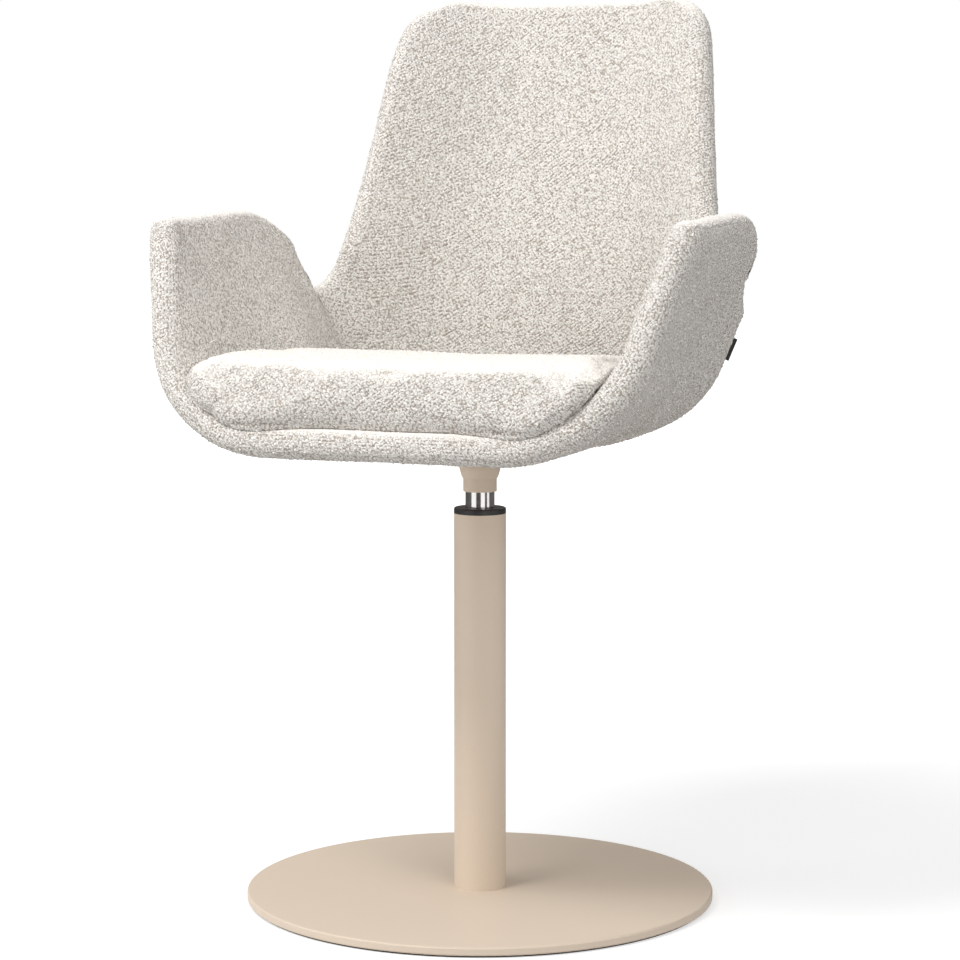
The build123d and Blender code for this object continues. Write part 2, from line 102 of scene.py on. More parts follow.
def smooth_step(tree, value, low, high, start=0.0, end=1.0):
    """Value eased from start to end while it goes from low to high."""
    inputs = {"Value": value, "From Min": low, "From Max": high, "To Min": start, "To Max": end}
    return node(tree, "ShaderNodeMapRange", inputs, interpolation_type="SMOOTHSTEP").outputs[0]


def blend_colors(tree, factor, first, second):
    """The first color where the factor is 0 and the second where it is 1."""
    mix = node(tree, "ShaderNodeMix", data_type="RGBA")
    for place, value in ((0, factor), (6, first), (7, second)):
        if isinstance(value, bpy.types.NodeSocket):
            tree.links.new(value, mix.inputs[place])
        else:
            mix.inputs[place].default_value = value
    return mix.outputs[2]


def shared_group(name, inputs, outputs):
    """A node group with named sockets: inputs are (name, type, default), outputs are (name, type)."""
    tree = bpy.data.node_groups.new(name, "ShaderNodeTree")
    for label, kind, default in inputs:
        socket = tree.interface.new_socket(label, in_out="INPUT", socket_type="NodeSocket" + kind)
        socket.default_value = default
    for label, kind in outputs:
        tree.interface.new_socket(label, in_out="OUTPUT", socket_type="NodeSocket" + kind)
    return tree, tree.nodes.new("NodeGroupInput").outputs, tree.nodes.new("NodeGroupOutput").inputs


def material(name):
    """An empty material with its tree, its main shader and the piece's own coordinates."""
    made = bpy.data.materials.new(name)
    made.use_nodes = True
    tree = made.node_tree
    return made, tree, tree.nodes["Principled BSDF"], node(tree, "ShaderNodeTexCoord").outputs["Object"]


def bump(tree, height, distance):
    inputs = {"Height": height, "Distance": distance, "Strength": 1.0}
    return node(tree, "ShaderNodeBump", inputs).outputs["Normal"]


# %% [markdown]
# ## Boucle cloth
# Boucle is woven from looped yarn. Close up it is a field of small nubs a few millimetres across over a
# faint diagonal twill, and the shade in the gaps between them is painted into the colour as a darker
# gap colour. Two sizes of cells in a wobbly grid give nubs that never line up, and their height shapes
# the light as well as the colour. Where the cloth faces up, on the seat and along the rims, painted top
# light lifts the gaps to the yarn's paleness, and the nubs stand flatter.
# The effect is a group, because the lining, the outer cover and the cushion are cut from the same bolt.

# %% Build the boucle group
nub_lean = (0.5, 0.7, 0.0)
nub_stretch = (1.0, 1.0, 0.8)
boucle_group, given, result = shared_group(
    "boucle_cloth",
    [
        ("Position", "Vector", (0, 0, 0)),
        ("Fabric", "Vector", (0, 0, 0)),
        ("Nub Size", "Float", 2.1 * MM),
        ("Twill Period", "Float", 3.2 * MM),
        ("Twill Angle", "Float", radians(42)),
        ("Twill Share", "Float", 0.3),
        ("Seam Distance", "Float", 1.0),
        ("Facing Up", "Float", 0.0),
        ("Yarn", "Color", (0.90, 0.865, 0.815, 1)),
        # The gap colour is painted shade: the shadow between the nubs, put into the colour.
        ("Painted Gap Shade", "Color", (0.37, 0.315, 0.27, 1)),
    ],
    [("Color", "Color"), ("Height", "Float")],
)
per_nub = math_node(boucle_group, "DIVIDE", 1.0, given["Nub Size"])
leaning = node(
    boucle_group, "ShaderNodeVectorRotate", {"Vector": given["Position"], "Rotation": nub_lean},
    rotation_type="EULER_XYZ",
).outputs[0]
cells = vector_math(boucle_group, "SCALE", leaning, scale=per_nub)
cells = vector_math(boucle_group, "MULTIPLY", cells, nub_stretch)
wobble = node(boucle_group, "ShaderNodeTexNoise", {"Vector": cells, "Scale": 0.9, "Detail": 2.0})
wobble = vector_math(boucle_group, "SUBTRACT", wobble.outputs["Color"], (0.5, 0.5, 0.5))
cells = vector_math(boucle_group, "ADD", cells, vector_math(boucle_group, "SCALE", wobble, scale=0.7))
large_nubs = {"Vector": cells, "Scale": 1.0, "Randomness": 0.85}
large = node(boucle_group, "ShaderNodeTexVoronoi", large_nubs).outputs
small = node(boucle_group, "ShaderNodeTexVoronoi", {"Vector": cells, "Scale": 2.3}).outputs
nubs = math_node(
    boucle_group, "ADD",
    smooth_step(boucle_group, large["Distance"], 0.1, 0.8, 0.7, 0.0),
    smooth_step(boucle_group, small["Distance"], 0.1, 0.8, 0.3, 0.0),
)
turned = node(
    boucle_group, "ShaderNodeVectorRotate", {"Vector": given["Fabric"], "Angle": given["Twill Angle"]},
    rotation_type="Z_AXIS",
).outputs[0]
across = node(boucle_group, "ShaderNodeSeparateXYZ", {0: turned}).outputs["X"]
ridge = math_node(boucle_group, "DIVIDE", across, given["Twill Period"])
drift = node(boucle_group, "ShaderNodeTexNoise", {"Vector": given["Position"], "Scale": 210.0})
drift = math_node(boucle_group, "MULTIPLY", drift.outputs["Fac"], 0.5)
ridge = math_node(boucle_group, "ADD", ridge, drift)
ridge = math_node(boucle_group, "SINE", math_node(boucle_group, "MULTIPLY", ridge, 2 * pi))
patches = node(boucle_group, "ShaderNodeTexNoise", {"Vector": given["Position"], "Scale": 26.0})
woven = smooth_step(boucle_group, patches.outputs["Fac"], 0.3, 0.7, 0.35, 1.0)
woven = math_node(boucle_group, "MULTIPLY", woven, given["Twill Share"])
height = math_node(boucle_group, "ADD", nubs, math_node(boucle_group, "MULTIPLY", ridge, woven))
# The seam's groove sinks the nubs and paints a little shade into the colour there.
groove_and_shade = smooth_step(boucle_group, given["Seam Distance"], 0.4 * MM, 3.0 * MM, 1.0, 0.0)
shade = math_node(boucle_group, "SUBTRACT", height, math_node(boucle_group, "MULTIPLY", groove_and_shade, 0.2))
shade = smooth_step(boucle_group, shade, 0.0, 0.46)
# Painted top light: where the cloth faces up, the gaps' painted shade is lifted towards the yarn's colour.
painted_top_light = math_node(boucle_group, "MULTIPLY", given["Facing Up"], 0.84)
shade = math_node(boucle_group, "MAXIMUM", shade, painted_top_light)
height = math_node(boucle_group, "SUBTRACT", height, math_node(boucle_group, "MULTIPLY", groove_and_shade, 0.5))
# Where the cloth faces up the nubs also stand flatter for the bump.
flattened = math_node(boucle_group, "MULTIPLY", given["Facing Up"], 0.85)
height = math_node(boucle_group, "MULTIPLY", height, math_node(boucle_group, "SUBTRACT", 1.0, flattened))
# The colour mixes the yarn with painted shade in the gaps between the nubs.
cloth_color = blend_colors(boucle_group, shade, given["Painted Gap Shade"], given["Yarn"])
nub_tone = node(boucle_group, "ShaderNodeSeparateXYZ", {0: large["Color"]}).outputs["X"]
nub_tone = smooth_step(boucle_group, nub_tone, 0.0, 1.0, 0.93, 1.04)
cloth_color = vector_math(boucle_group, "SCALE", cloth_color, scale=nub_tone)
boucle_group.links.new(cloth_color, result["Color"])
boucle_group.links.new(height, result["Height"])
print("boucle group has", len(boucle_group.nodes), "nodes")


# %% Boucle materials
facing_up_slope = (0.55, 0.97)


def boucle(name, twill_angle, twill_share, relief, seam=None, panel_angle=None):
    """Cloth with its own twill direction. Across a seam, whose distance changes sign, it may turn.
    Relief is how high the nubs stand for the light."""
    made, tree, shader, position = material(name)
    weave = node(tree, "ShaderNodeGroup", {}, node_tree=boucle_group)
    fabric = node(tree, "ShaderNodeUVMap", uv_map="fabric").outputs["UV"]
    upward = node(tree, "ShaderNodeAttribute", attribute_name="upward").outputs["Fac"]
    tree.links.new(position, weave.inputs["Position"])
    tree.links.new(fabric, weave.inputs["Fabric"])
    # Faces that look up get painted top light and flatter nubs.
    tree.links.new(smooth_step(tree, upward, *facing_up_slope), weave.inputs["Facing Up"])
    weave.inputs["Twill Angle"].default_value = twill_angle
    weave.inputs["Twill Share"].default_value = twill_share
    if seam:
        distance = node(tree, "ShaderNodeAttribute", attribute_name=seam).outputs["Fac"]
        tree.links.new(math_node(tree, "ABSOLUTE", distance), weave.inputs["Seam Distance"])
        if panel_angle is not None:
            beyond = math_node(tree, "GREATER_THAN", distance, 0.0)
            turn = math_node(tree, "MULTIPLY", beyond, panel_angle - twill_angle)
            tree.links.new(math_node(tree, "ADD", turn, twill_angle), weave.inputs["Twill Angle"])
    tree.links.new(weave.outputs["Color"], shader.inputs["Base Color"])
    tree.links.new(bump(tree, weave.outputs["Height"], relief), shader.inputs["Normal"])
    shader.inputs["Roughness"].default_value = 0.95
    shader.inputs["Specular IOR Level"].default_value = 0.2
    shader.inputs["Sheen Weight"].default_value = 0.2
    shader.inputs["Sheen Roughness"].default_value = 0.5
    return made


lining_cloth = boucle(
    "boucle_lining", radians(54), 0.13, 1.9 * MM, seam="lining_seam", panel_angle=radians(90)
)
outer_cloth = boucle("boucle_outer", radians(20), 0.05, 2.0 * MM)
cushion_cloth = boucle("boucle_cushion", radians(50), 0.12, 2.1 * MM, seam="cushion_seam")
loop_cloth = boucle("boucle_loops", 0.0, 0.0, 1.0 * MM)
print("cloths:", lining_cloth.name, outer_cloth.name, cushion_cloth.name, loop_cloth.name)

# %% [markdown]
# ## Fine grain for paint, plastic and metal
# Powder paint, moulded plastic and rubber all have a fine unevenness that breaks up reflections. One
# group of two noises gives it, with its own size and depth in each material.

# %% Build the grain group
grain_group, given, result = shared_group(
    "fine_grain",
    [
        ("Position", "Vector", (0, 0, 0)),
        ("Grain Size", "Float", 0.5 * MM),
        ("Low Roughness", "Float", 0.4),
        ("High Roughness", "Float", 0.5),
    ],
    [("Height", "Float"), ("Roughness", "Float"), ("Tone", "Float")],
)
per_grain = math_node(grain_group, "DIVIDE", 1.0, given["Grain Size"])
specks = vector_math(grain_group, "SCALE", given["Position"], scale=per_grain)
peel = node(grain_group, "ShaderNodeTexNoise", {"Vector": specks, "Scale": 1.0, "Detail": 3.0})
peel = peel.outputs["Fac"]
cloud = node(grain_group, "ShaderNodeTexNoise", {"Vector": given["Position"], "Scale": 9.0}).outputs["Fac"]
spread = math_node(grain_group, "SUBTRACT", given["High Roughness"], given["Low Roughness"])
rough = math_node(grain_group, "MULTIPLY", cloud, spread)
rough = math_node(grain_group, "ADD", rough, given["Low Roughness"])
grain_group.links.new(peel, result["Height"])
grain_group.links.new(rough, result["Roughness"])
grain_group.links.new(smooth_step(grain_group, peel, 0.3, 0.7, 0.975, 1.02), result["Tone"])
print("grain group has", len(grain_group.nodes), "nodes")


# %% Hard finishes
def hard_finish(name, color, grain, depth, low_roughness, high_roughness, metallic=0.0, gloss=0.5):
    """A painted, plated, ground or moulded surface."""
    made, tree, shader, position = material(name)
    surface = node(tree, "ShaderNodeGroup", {}, node_tree=grain_group)
    tree.links.new(position, surface.inputs["Position"])
    surface.inputs["Grain Size"].default_value = grain
    surface.inputs["Low Roughness"].default_value = low_roughness
    surface.inputs["High Roughness"].default_value = high_roughness
    tinted = vector_math(tree, "SCALE", color, scale=surface.outputs["Tone"])
    tree.links.new(tinted, shader.inputs["Base Color"])
    tree.links.new(surface.outputs["Roughness"], shader.inputs["Roughness"])
    tree.links.new(bump(tree, surface.outputs["Height"], depth), shader.inputs["Normal"])
    shader.inputs["Metallic"].default_value = metallic
    shader.inputs["Specular IOR Level"].default_value = gloss
    return made


painted_steel = hard_finish(
    "beige_powder_paint", (0.67, 0.56, 0.45), 0.55 * MM, 0.05 * MM, 0.46, 0.56, gloss=0.3
)
bright_steel = hard_finish("bright_plate", (0.62, 0.61, 0.60), 2.0 * MM, 0.002 * MM, 0.10, 0.16, 1.0)
ground_steel = hard_finish("ground_steel", (0.55, 0.55, 0.56), 0.3 * MM, 0.01 * MM, 0.25, 0.35, 1.0)
zinc_steel = hard_finish("zinc_plate", (0.60, 0.61, 0.62), 0.8 * MM, 0.01 * MM, 0.30, 0.42, 1.0)
black_plastic = hard_finish("black_bush", (0.012, 0.011, 0.011), 0.4 * MM, 0.02 * MM, 0.35, 0.48)
cage_plastic = hard_finish("cage_plastic", (0.80, 0.77, 0.70), 0.6 * MM, 0.02 * MM, 0.45, 0.55)
pad_rubber = hard_finish("pad_rubber", (0.05, 0.05, 0.05), 0.7 * MM, 0.08 * MM, 0.80, 0.92)
foam_finish = hard_finish("open_foam", (0.82, 0.78, 0.62), 1.4 * MM, 0.60 * MM, 0.92, 0.98)
print("materials so far:", len(bpy.data.materials))

# %% [markdown]
# ## Moulded plywood
# The bucket's core is glued from thin sheets. Its edge shows them as stripes, and its faces show a long
# grain. It is hidden by the padding, but a part that is taken apart should still look like itself.

# %% Plywood finish
plywood, tree, shader, position = material("moulded_plywood")
stretched = node(tree, "ShaderNodeMapping", {"Vector": position, "Scale": (12.0, 90.0, 90.0)}).outputs[0]
fibres = node(tree, "ShaderNodeTexNoise", {"Vector": stretched, "Scale": 1.0, "Detail": 6.0}).outputs["Fac"]
wood_color = blend_colors(tree, fibres, (0.42, 0.27, 0.14, 1), (0.72, 0.55, 0.36, 1))
tree.links.new(wood_color, shader.inputs["Base Color"])
tree.links.new(bump(tree, fibres, 0.1 * MM), shader.inputs["Normal"])
shader.inputs["Roughness"].default_value = 0.7
print("plywood:", plywood.name)

# %% [markdown]
# ## Finishes of the engineered parts
# These parts already have their real shape, so each only gets its material. The paint is a satin
# powder coat, the spindle is plated, and the bush in the column's mouth is black plastic.

# %% Give each engineered part its finish
finishes = {
    painted_steel: ["base_plate", "column_tube", "hub_collar", "hub_socket", "seat_plate"],
    bright_steel: ["spindle"],
    ground_steel: [
        "thrust_race_lower", "thrust_race_upper", "bearing_balls", "bearing_seat", "column_foot",
    ],
    zinc_steel: [
        "base_bolt", "base_dowel", "tail_washer", "retaining_clip",
        "seat_bolts", "seat_washers", "seat_spacers", "tee_nuts",
    ],
    black_plastic: ["guide_bush"],
    cage_plastic: ["bearing_cage"],
    pad_rubber: ["floor_pad"],
    foam_finish: ["shell_foam", "cushion_foam"],
    plywood: ["shell_core"],
}
for finish, names in finishes.items():
    for name in names:
        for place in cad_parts[name].material_slots:
            place.material = finish
print("finished parts:", sum(len(names) for names in finishes.values()))

# %% [markdown]
# ## The bucket's shape
# The shell is bent from one sheet. A middle line runs back along the pan, up through a round bend and
# up the back. Across it stand ribs: flat in the middle, a round corner, and a straight wall that flares
# outward. The ribs' sizes change smoothly along the line, high at the arms, low in the valley behind
# them, shallow at the back. The same few numbers shape the engineered solids, so both agree.

# %% Sizes of the bucket, in millimetres and degrees
pan_front = -238.0
pan_height = 450.5
pan_slope = 2.0
bend_start = 62.0
bend_radius = 100.0
recline = 14.7
back_top = 854.0
half_thickness = 14.0
arm_corner = 28.0
top_corner = 42.0
least_wall = 2.0
# Place (0 to 1 pan, 1 to 2 bend, 2 to 3 back), half width, rise, forward lean, corner radius, flare
RIBS = np.array([
    (0.00, 251, 197, -23, 120, 13),
    (0.20, 253, 189, -11, 118, 19),
    (0.50, 251, 193, -7, 122, 22),
    (0.80, 251, 196, 0, 132, 27),
    (1.00, 240, 176, 1, 130, 24),
    (1.18, 225, 138, 8, 121, 24),
    (1.37, 219, 110, 11, 105, 24),
    (1.75, 200, 98, 17, 94, 31),
    (2.03, 188, 89, 25, 92, 38),
    (2.22, 179, 70, 38, 110, 48),
    (2.50, 167, 57, 49, 129, 55),
    (2.78, 157, 48, 62, 139, 60),
    (3.00, 144, 34, 75, 139, 60),
], float)

# %% Lengths along the middle line
slope = radians(pan_slope)
upright = radians(90 - recline)
pan_length = (bend_start - pan_front) / cos(slope)
bend_length = bend_radius * (upright + slope)
front_height = pan_height - pan_front * tan(slope)
bend_height = front_height - pan_length * sin(slope)
foot_y = bend_start + bend_radius * (sin(upright) + sin(slope))
foot_z = bend_height + bend_radius * (cos(slope) - cos(upright))
back_length = (back_top - foot_z) / sin(upright)
line_length = pan_length + bend_length + back_length
stretches = np.array([0, pan_length, pan_length + bend_length, line_length])
rib_lengths = np.interp(RIBS[:, 0], [0, 1, 2, 3], stretches)
print("middle line:", round(line_length), "mm from the front edge over the seat to the top of the back")


# %% Curves through the ribs' sizes
def eased(x, xs, ys):
    """Values of a smooth curve through points that keeps their own rise and fall."""
    steps = np.diff(xs)
    rises = np.diff(ys) / steps
    tangents = np.zeros_like(ys)
    tangents[0] = rises[0]
    tangents[-1] = rises[-1]
    for i in range(1, len(rises)):
        if rises[i - 1] * rises[i] > 0:
            near = 2 * steps[i] + steps[i - 1]
            far = steps[i] + 2 * steps[i - 1]
            tangents[i] = (near + far) / (near / rises[i - 1] + far / rises[i])
    x = np.clip(x, xs[0], xs[-1])
    i = np.clip(np.searchsorted(xs, x, side="right") - 1, 0, len(xs) - 2)
    q = (x - xs[i]) / steps[i]
    rise = tangents[i] * q * (1 - q) ** 2 + tangents[i + 1] * q * q * (q - 1)
    return ys[i] * (1 + 2 * q) * (1 - q) ** 2 + ys[i + 1] * q * q * (3 - 2 * q) + steps[i] * rise


def quarter(depth, radius):
    """How far a quarter circle still falls short of its side at a depth from its end."""
    depth = np.clip(depth, 0, radius)
    return radius - np.sqrt(radius**2 - (radius - depth) ** 2)


def centre_line(s):
    """(y, z) of the middle line at lengths s from the front edge."""
    turn = np.clip((s - pan_length) / bend_radius, 0, upright + slope) - slope
    along = np.minimum(s, pan_length)
    up = np.maximum(s - pan_length - bend_length, 0)
    y = pan_front + along * cos(slope) + bend_radius * (np.sin(turn) + sin(slope)) + up * cos(upright)
    z = front_height - along * sin(slope) + bend_radius * (cos(slope) - np.cos(turn)) + up * sin(upright)
    return y, z


def rib_lines(s):
    """Flat half width, corner radius, corner angle and wall length of the ribs at lengths s."""
    width, rise, radius, flare = (eased(s, rib_lengths, RIBS[:, k]) for k in (1, 2, 4, 5))
    angle = pi / 2 - np.radians(flare)
    wall = (rise - radius * (1 - np.cos(angle))) / np.sin(angle)
    flat = width - radius * np.sin(angle) - wall * np.cos(angle)
    wall = wall - quarter(s, arm_corner) - quarter(line_length - s, top_corner)
    angle = np.where(wall < least_wall, angle - (least_wall - wall) / radius, angle)
    return flat, radius, angle, np.maximum(wall, least_wall)


def halfway(s, q):
    """The shell's halfway surface: s along the middle line, q from -1 to 1 along the rib.
    Also gives the run, the distance from the middle line along the rib."""
    s, q = np.broadcast_arrays(s, q)
    flat, radius, angle, wall = rib_lines(s)
    run = np.abs(q) * (flat + radius * angle + wall)
    bend = np.clip((run - flat) / radius, 0, angle)
    up = np.maximum(run - flat - radius * angle, 0)
    across = np.minimum(run, flat) + radius * np.sin(bend) + up * np.cos(angle)
    height = radius * (1 - np.cos(bend)) + up * np.sin(angle)
    y, z = centre_line(s)
    tip = np.radians(eased(s, rib_lengths, RIBS[:, 3]))
    side = np.sign(q)
    return np.stack([side * across, y - height * np.sin(tip), z + height * np.cos(tip)], -1), side * run


# %% [markdown]
# ## A fine grid over the bucket
# The covers are too large and too evenly curved to be worth pushing about by hand, so their points come
# from the shape's own formula. Rows crowd together where the arms' and the back's corners are round.
# The sheet's edge is a closed loop, and the padding rolls over it in a half circle.

# %% Grid and rim of the halfway surface
grid_step = 3.9
front_row_count = 12
top_row_count = 14
column_count = 151
front_rows = arm_corner * (1 - np.cos(np.linspace(0, pi / 2, front_row_count)))
top_rows = line_length - top_corner * (1 - np.cos(np.linspace(pi / 2, 0, top_row_count)))
middle_count = int((top_rows[0] - front_rows[-1]) / grid_step)
middle_rows = np.linspace(front_rows[-1], top_rows[0], middle_count)
rows = np.concatenate([front_rows, middle_rows[1:-1], top_rows])
columns = np.linspace(-1, 1, column_count)
sheet, run = halfway(rows[:, None], columns[None, :])
along_rib = np.gradient(sheet, columns, axis=1)
along_line = np.gradient(sheet, np.arange(len(rows)), axis=0)
sitter_side = np.cross(along_rib, along_line)
sitter_side /= np.linalg.norm(sitter_side, axis=-1, keepdims=True)
fabric_grid = np.stack([run, np.broadcast_to(rows[:, None], run.shape)], -1)


def rim_of(grid):
    """The grid's edge as a closed loop: front, right side, top, left side."""
    return np.concatenate([grid[0], grid[1:, -1], grid[-1, -2::-1], grid[-2:0:-1, 0]])


numbers = np.arange(sheet.shape[0] * sheet.shape[1]).reshape(sheet.shape[:2])
rim_numbers = rim_of(numbers)
rim = rim_of(sheet)
rim_normal = rim_of(sitter_side)
rim_ahead = np.roll(rim, -1, 0) - np.roll(rim, 1, 0)
rim_ahead /= np.linalg.norm(rim_ahead, axis=-1, keepdims=True)
rim_outward = np.cross(rim_ahead, rim_normal)
rim_outward /= np.linalg.norm(rim_outward, axis=-1, keepdims=True)
print("grid of", sheet.shape[0], "rows and", sheet.shape[1], "columns, rim of", len(rim), "points")


# %% Mesh helpers
def grid_faces(numbers):
    """Quads of a grid of point numbers, facing the side on which they run anticlockwise."""
    quads = np.stack([numbers[:-1, :-1], numbers[:-1, 1:], numbers[1:, 1:], numbers[1:, :-1]], -1)
    return quads.reshape(-1, 4)


def add_values(mesh, label, amounts):
    """Stores one number at each point of a mesh."""
    attribute = mesh.attributes.new(label, "FLOAT", "POINT")
    attribute.data.foreach_set("value", np.asarray(amounts, np.float32))


def mesh_piece(name, points, faces, fabric, values):
    """A smooth mesh in metres from points in millimetres, with its cloth coordinates and attributes."""
    mesh = bpy.data.meshes.new(name)
    mesh.from_pydata((points * MM).tolist(), [], faces.tolist())
    mesh.update()
    mesh.shade_smooth()
    layer = mesh.uv_layers.new(name="fabric")
    corners = np.zeros(len(mesh.loops), int)
    mesh.loops.foreach_get("vertex_index", corners)
    layer.uv.foreach_set("vector", (fabric[corners] * MM).astype(np.float32).ravel())
    for label, amounts in values.items():
        add_values(mesh, label, amounts)
    piece = bpy.data.objects.new(name, mesh)
    bpy.context.scene.collection.objects.link(piece)
    return piece


def points_of(mesh):
    co = np.zeros(len(mesh.vertices) * 3)
    mesh.vertices.foreach_get("co", co)
    return co.reshape(-1, 3)


def triangles(piece):
    return sum(len(face.vertices) - 2 for face in piece.data.polygons)


# %% [markdown]
# ## Padding under the cloth
# Foam under a tight cover is never quite even. Two slow ripples, one as wide as a hand and one as wide
# as a thumb, move the surface by less than a millimetre. They stop short of the sewn edge.


# %% Ripples of the padding
hand_ripple = 62.0
thumb_ripple = 17.0
thumb_share = 0.45
thumb_shift = Vector((40, 0, 0))


def ripples(points, depth):
    """Small uneven heights in millimetres, the same at every run."""
    wide = [noise.noise(Vector(point) / hand_ripple) for point in points]
    narrow = [noise.noise(Vector(point) / thumb_ripple + thumb_shift) for point in points]
    return depth * (np.array(wide) + thumb_share * np.array(narrow))


# %% [markdown]
# ## The lining and the outer cover
# Two covers meet in a sewn valley on the rim's outer flank. The lining covers the sitter's side and
# rolls over the rim, and the outer cover comes up from below to meet it. Each one is a sheet that
# follows the halfway surface at the padding's distance, plus rolled rows that end by dipping into the
# seam. A Solidify modifier gives the cloth its thickness.

# %% Shape of the roll and the seam
seam_turn = -40.0
seam_dip = ((9.0, 1.0), (5.5, 0.998), (3.0, 0.993), (1.4, 0.985), (0.5, 0.975), (0.0, 0.970))
cloth_thickness = 1.6
padding_ripple = 0.55
turn_step = 8
seam_room = 13.0


def cover_rows(start):
    """Turn about the rim, in degrees, and distance as a share, from the sheet's edge to the seam."""
    way = 1 if seam_turn > start else -1
    plain = np.linspace(start, seam_turn - way * seam_room, 1 + int(abs(seam_turn - start) / turn_step))
    return [(turn, 1.0) for turn in plain[1:]] + [(seam_turn - way * off, share) for off, share in seam_dip]


def cover(side, start):
    """One cover: the sheet on one side of the shell and its rolled edge."""
    points = [(sheet + side * half_thickness * sitter_side).reshape(-1, 3)]
    outward = [(side * sitter_side).reshape(-1, 3)]
    fabric = [fabric_grid.reshape(-1, 2)]
    hold = [np.ones(numbers.size)]
    edge_fabric = rim_of(fabric_grid)
    ahead = np.roll(edge_fabric, -1, 0) - np.roll(edge_fabric, 1, 0)
    off_edge = np.stack([ahead[:, 1], -ahead[:, 0]], -1) / np.hypot(ahead[:, 0], ahead[:, 1])[:, None]
    layers = [rim_numbers]
    rolled = 0.0
    turn_before = start
    for turn, share in cover_rows(start):
        angle = radians(turn)
        direction = cos(angle) * rim_outward + sin(angle) * rim_normal
        rolled += half_thickness * abs(radians(turn - turn_before))
        turn_before = turn
        points.append(rim + half_thickness * share * direction)
        outward.append(direction)
        fabric.append(edge_fabric + rolled * off_edge)
        hold.append(np.full(len(rim), 1.0 if share == 1.0 else 0.0))
        layers.append(np.arange(len(rim)) + sum(len(part) for part in points[:-1]))
    points, outward, fabric = (np.concatenate(parts) for parts in (points, outward, fabric))
    points += outward * (ripples(points, padding_ripple) * np.concatenate(hold))[:, None]
    strip = np.stack([np.append(layer, layer[0]) for layer in layers])
    if side > 0:
        faces = np.concatenate([grid_faces(numbers), grid_faces(strip.T)])
    else:
        faces = np.concatenate([grid_faces(numbers.T), grid_faces(strip)])
    return points, faces, fabric, outward


# %% [markdown]
# ### The seam inside the arms
# The lining is cut in panels. Where the arm's panel meets the back's, a seam runs from the valley
# behind the arm down and forward until the cushion hides it. Each point of the cover stores its
# distance from that seam on the flat cloth, and the material presses a groove there and paints a
# little shade into it.

# %% Distance from the lining's seam
# Length along the middle line, and share of the rib from the middle to the rim
SEAM_PATH = np.array([
    (350, 1.0), (346, 0.93), (338, 0.83), (327, 0.73), (309, 0.64), (283, 0.57), (250, 0.53),
])
seam_points = 160
lining_over_rim = 45.0
far_away = 1e3


def lining_seam(fabric):
    """Distance in metres from the seam on the flat cloth, positive on the arm's side of it."""
    s = np.linspace(SEAM_PATH[-1, 0], SEAM_PATH[0, 0], seam_points)
    share = eased(s, SEAM_PATH[::-1, 0], SEAM_PATH[::-1, 1])
    flat, radius, angle, wall = rib_lines(s)
    run = share * (flat + radius * angle + wall)
    over_rim = np.arange(1.0, lining_over_rim)
    run = np.concatenate([run, run[-1] + over_rim])
    s = np.concatenate([s, np.full(len(over_rim), s[-1])])
    distance = np.full(len(fabric), far_away)
    for place in zip(run, s):
        distance = np.minimum(distance, np.hypot(np.abs(fabric[:, 0]) - place[0], fabric[:, 1] - place[1]))
    on_arm = fabric[:, 1] < np.interp(np.abs(fabric[:, 0]), run, s)
    return np.where(on_arm, distance, -distance) * MM


# %% Make both covers
def solidify(piece, thickness):
    thicken = piece.modifiers.new("cloth", "SOLIDIFY")
    thicken.thickness = thickness * MM
    thicken.offset = -1.0


def finish_cover(name, side, start, cloth, with_seam=False):
    points, faces, fabric, outward = cover(side, start)
    values = {"upward": outward[:, 2]}
    if with_seam:
        values["lining_seam"] = lining_seam(fabric)
    piece = mesh_piece(name, points, faces, fabric, values)
    solidify(piece, cloth_thickness)
    piece.data.materials.append(cloth)
    print(name, "has", triangles(piece), "triangles on its outer face")
    return piece


inside_cover = finish_cover("inside_cover", 1, 90.0, lining_cloth, with_seam=True)
outside_cover = finish_cover("outside_cover", -1, -90.0, outer_cloth)

# %% [markdown]
# ## The loose cushion
# The cushion is a foam block in a boucle bag, thin at its drawn-in edge and crowned in the middle. The
# best way to get cloth that is blown tight over foam is to let the cloth simulation do it: a plain
# pillow is remeshed evenly and inflated for twenty frames with gravity off. The pillow starts flatter
# and a little wider, because the pressure lifts its top and draws its sides in. Each point's move is
# capped, so the cushion keeps its size and stays out of the bucket.

# %% Outlines of the cushion before it is inflated
# Height over the lining, front edge, back edge, half width front and back, corner radius front and back
CUSHION = np.array([
    (0.5, -222, 58, 103, 68, 26, 44),
    (6, -238, 88, 135, 97, 25, 64),
    (15, -247, 106, 160, 117, 24, 75),
    (27, -250, 120, 178, 134, 24, 83),
    (39, -246, 129, 190, 145, 25, 85),
    (50, -234, 134, 195, 151, 30, 85),
    (59, -206, 122, 188, 144, 42, 78),
    (65, -150, 84, 150, 112, 52, 62),
], float)
cushion_inset = -3.0
cushion_levels = 26
corner_points = 14
flattening = 0.80
side_lift = 17.0
side_lift_power = 2.5
front_sag = 18.0
sag_start = -218.0
sag_length = 28.0
sag_top = 45.0
bottom_room = 1.5
plate_gap = 0.3
plate_thickness = 3.5
plate_depth = 14.0
dish_low = -(half_thickness + plate_gap + plate_thickness + plate_depth)
hub_level = pan_height + dish_low / cos(slope)
seat_origin = np.array([0, -dish_low * sin(slope), hub_level - dish_low * cos(slope)])
seat_back = np.array([0, cos(slope), -sin(slope)])
seat_up = np.array([0, sin(slope), cos(slope)])


def in_seat(x, y, height):
    """Points over the lining of the seat pan."""
    across = x[:, None] * np.array([1.0, 0, 0])
    up = (half_thickness + height)[:, None] * seat_up
    return seat_origin + across + y[:, None] * seat_back + up


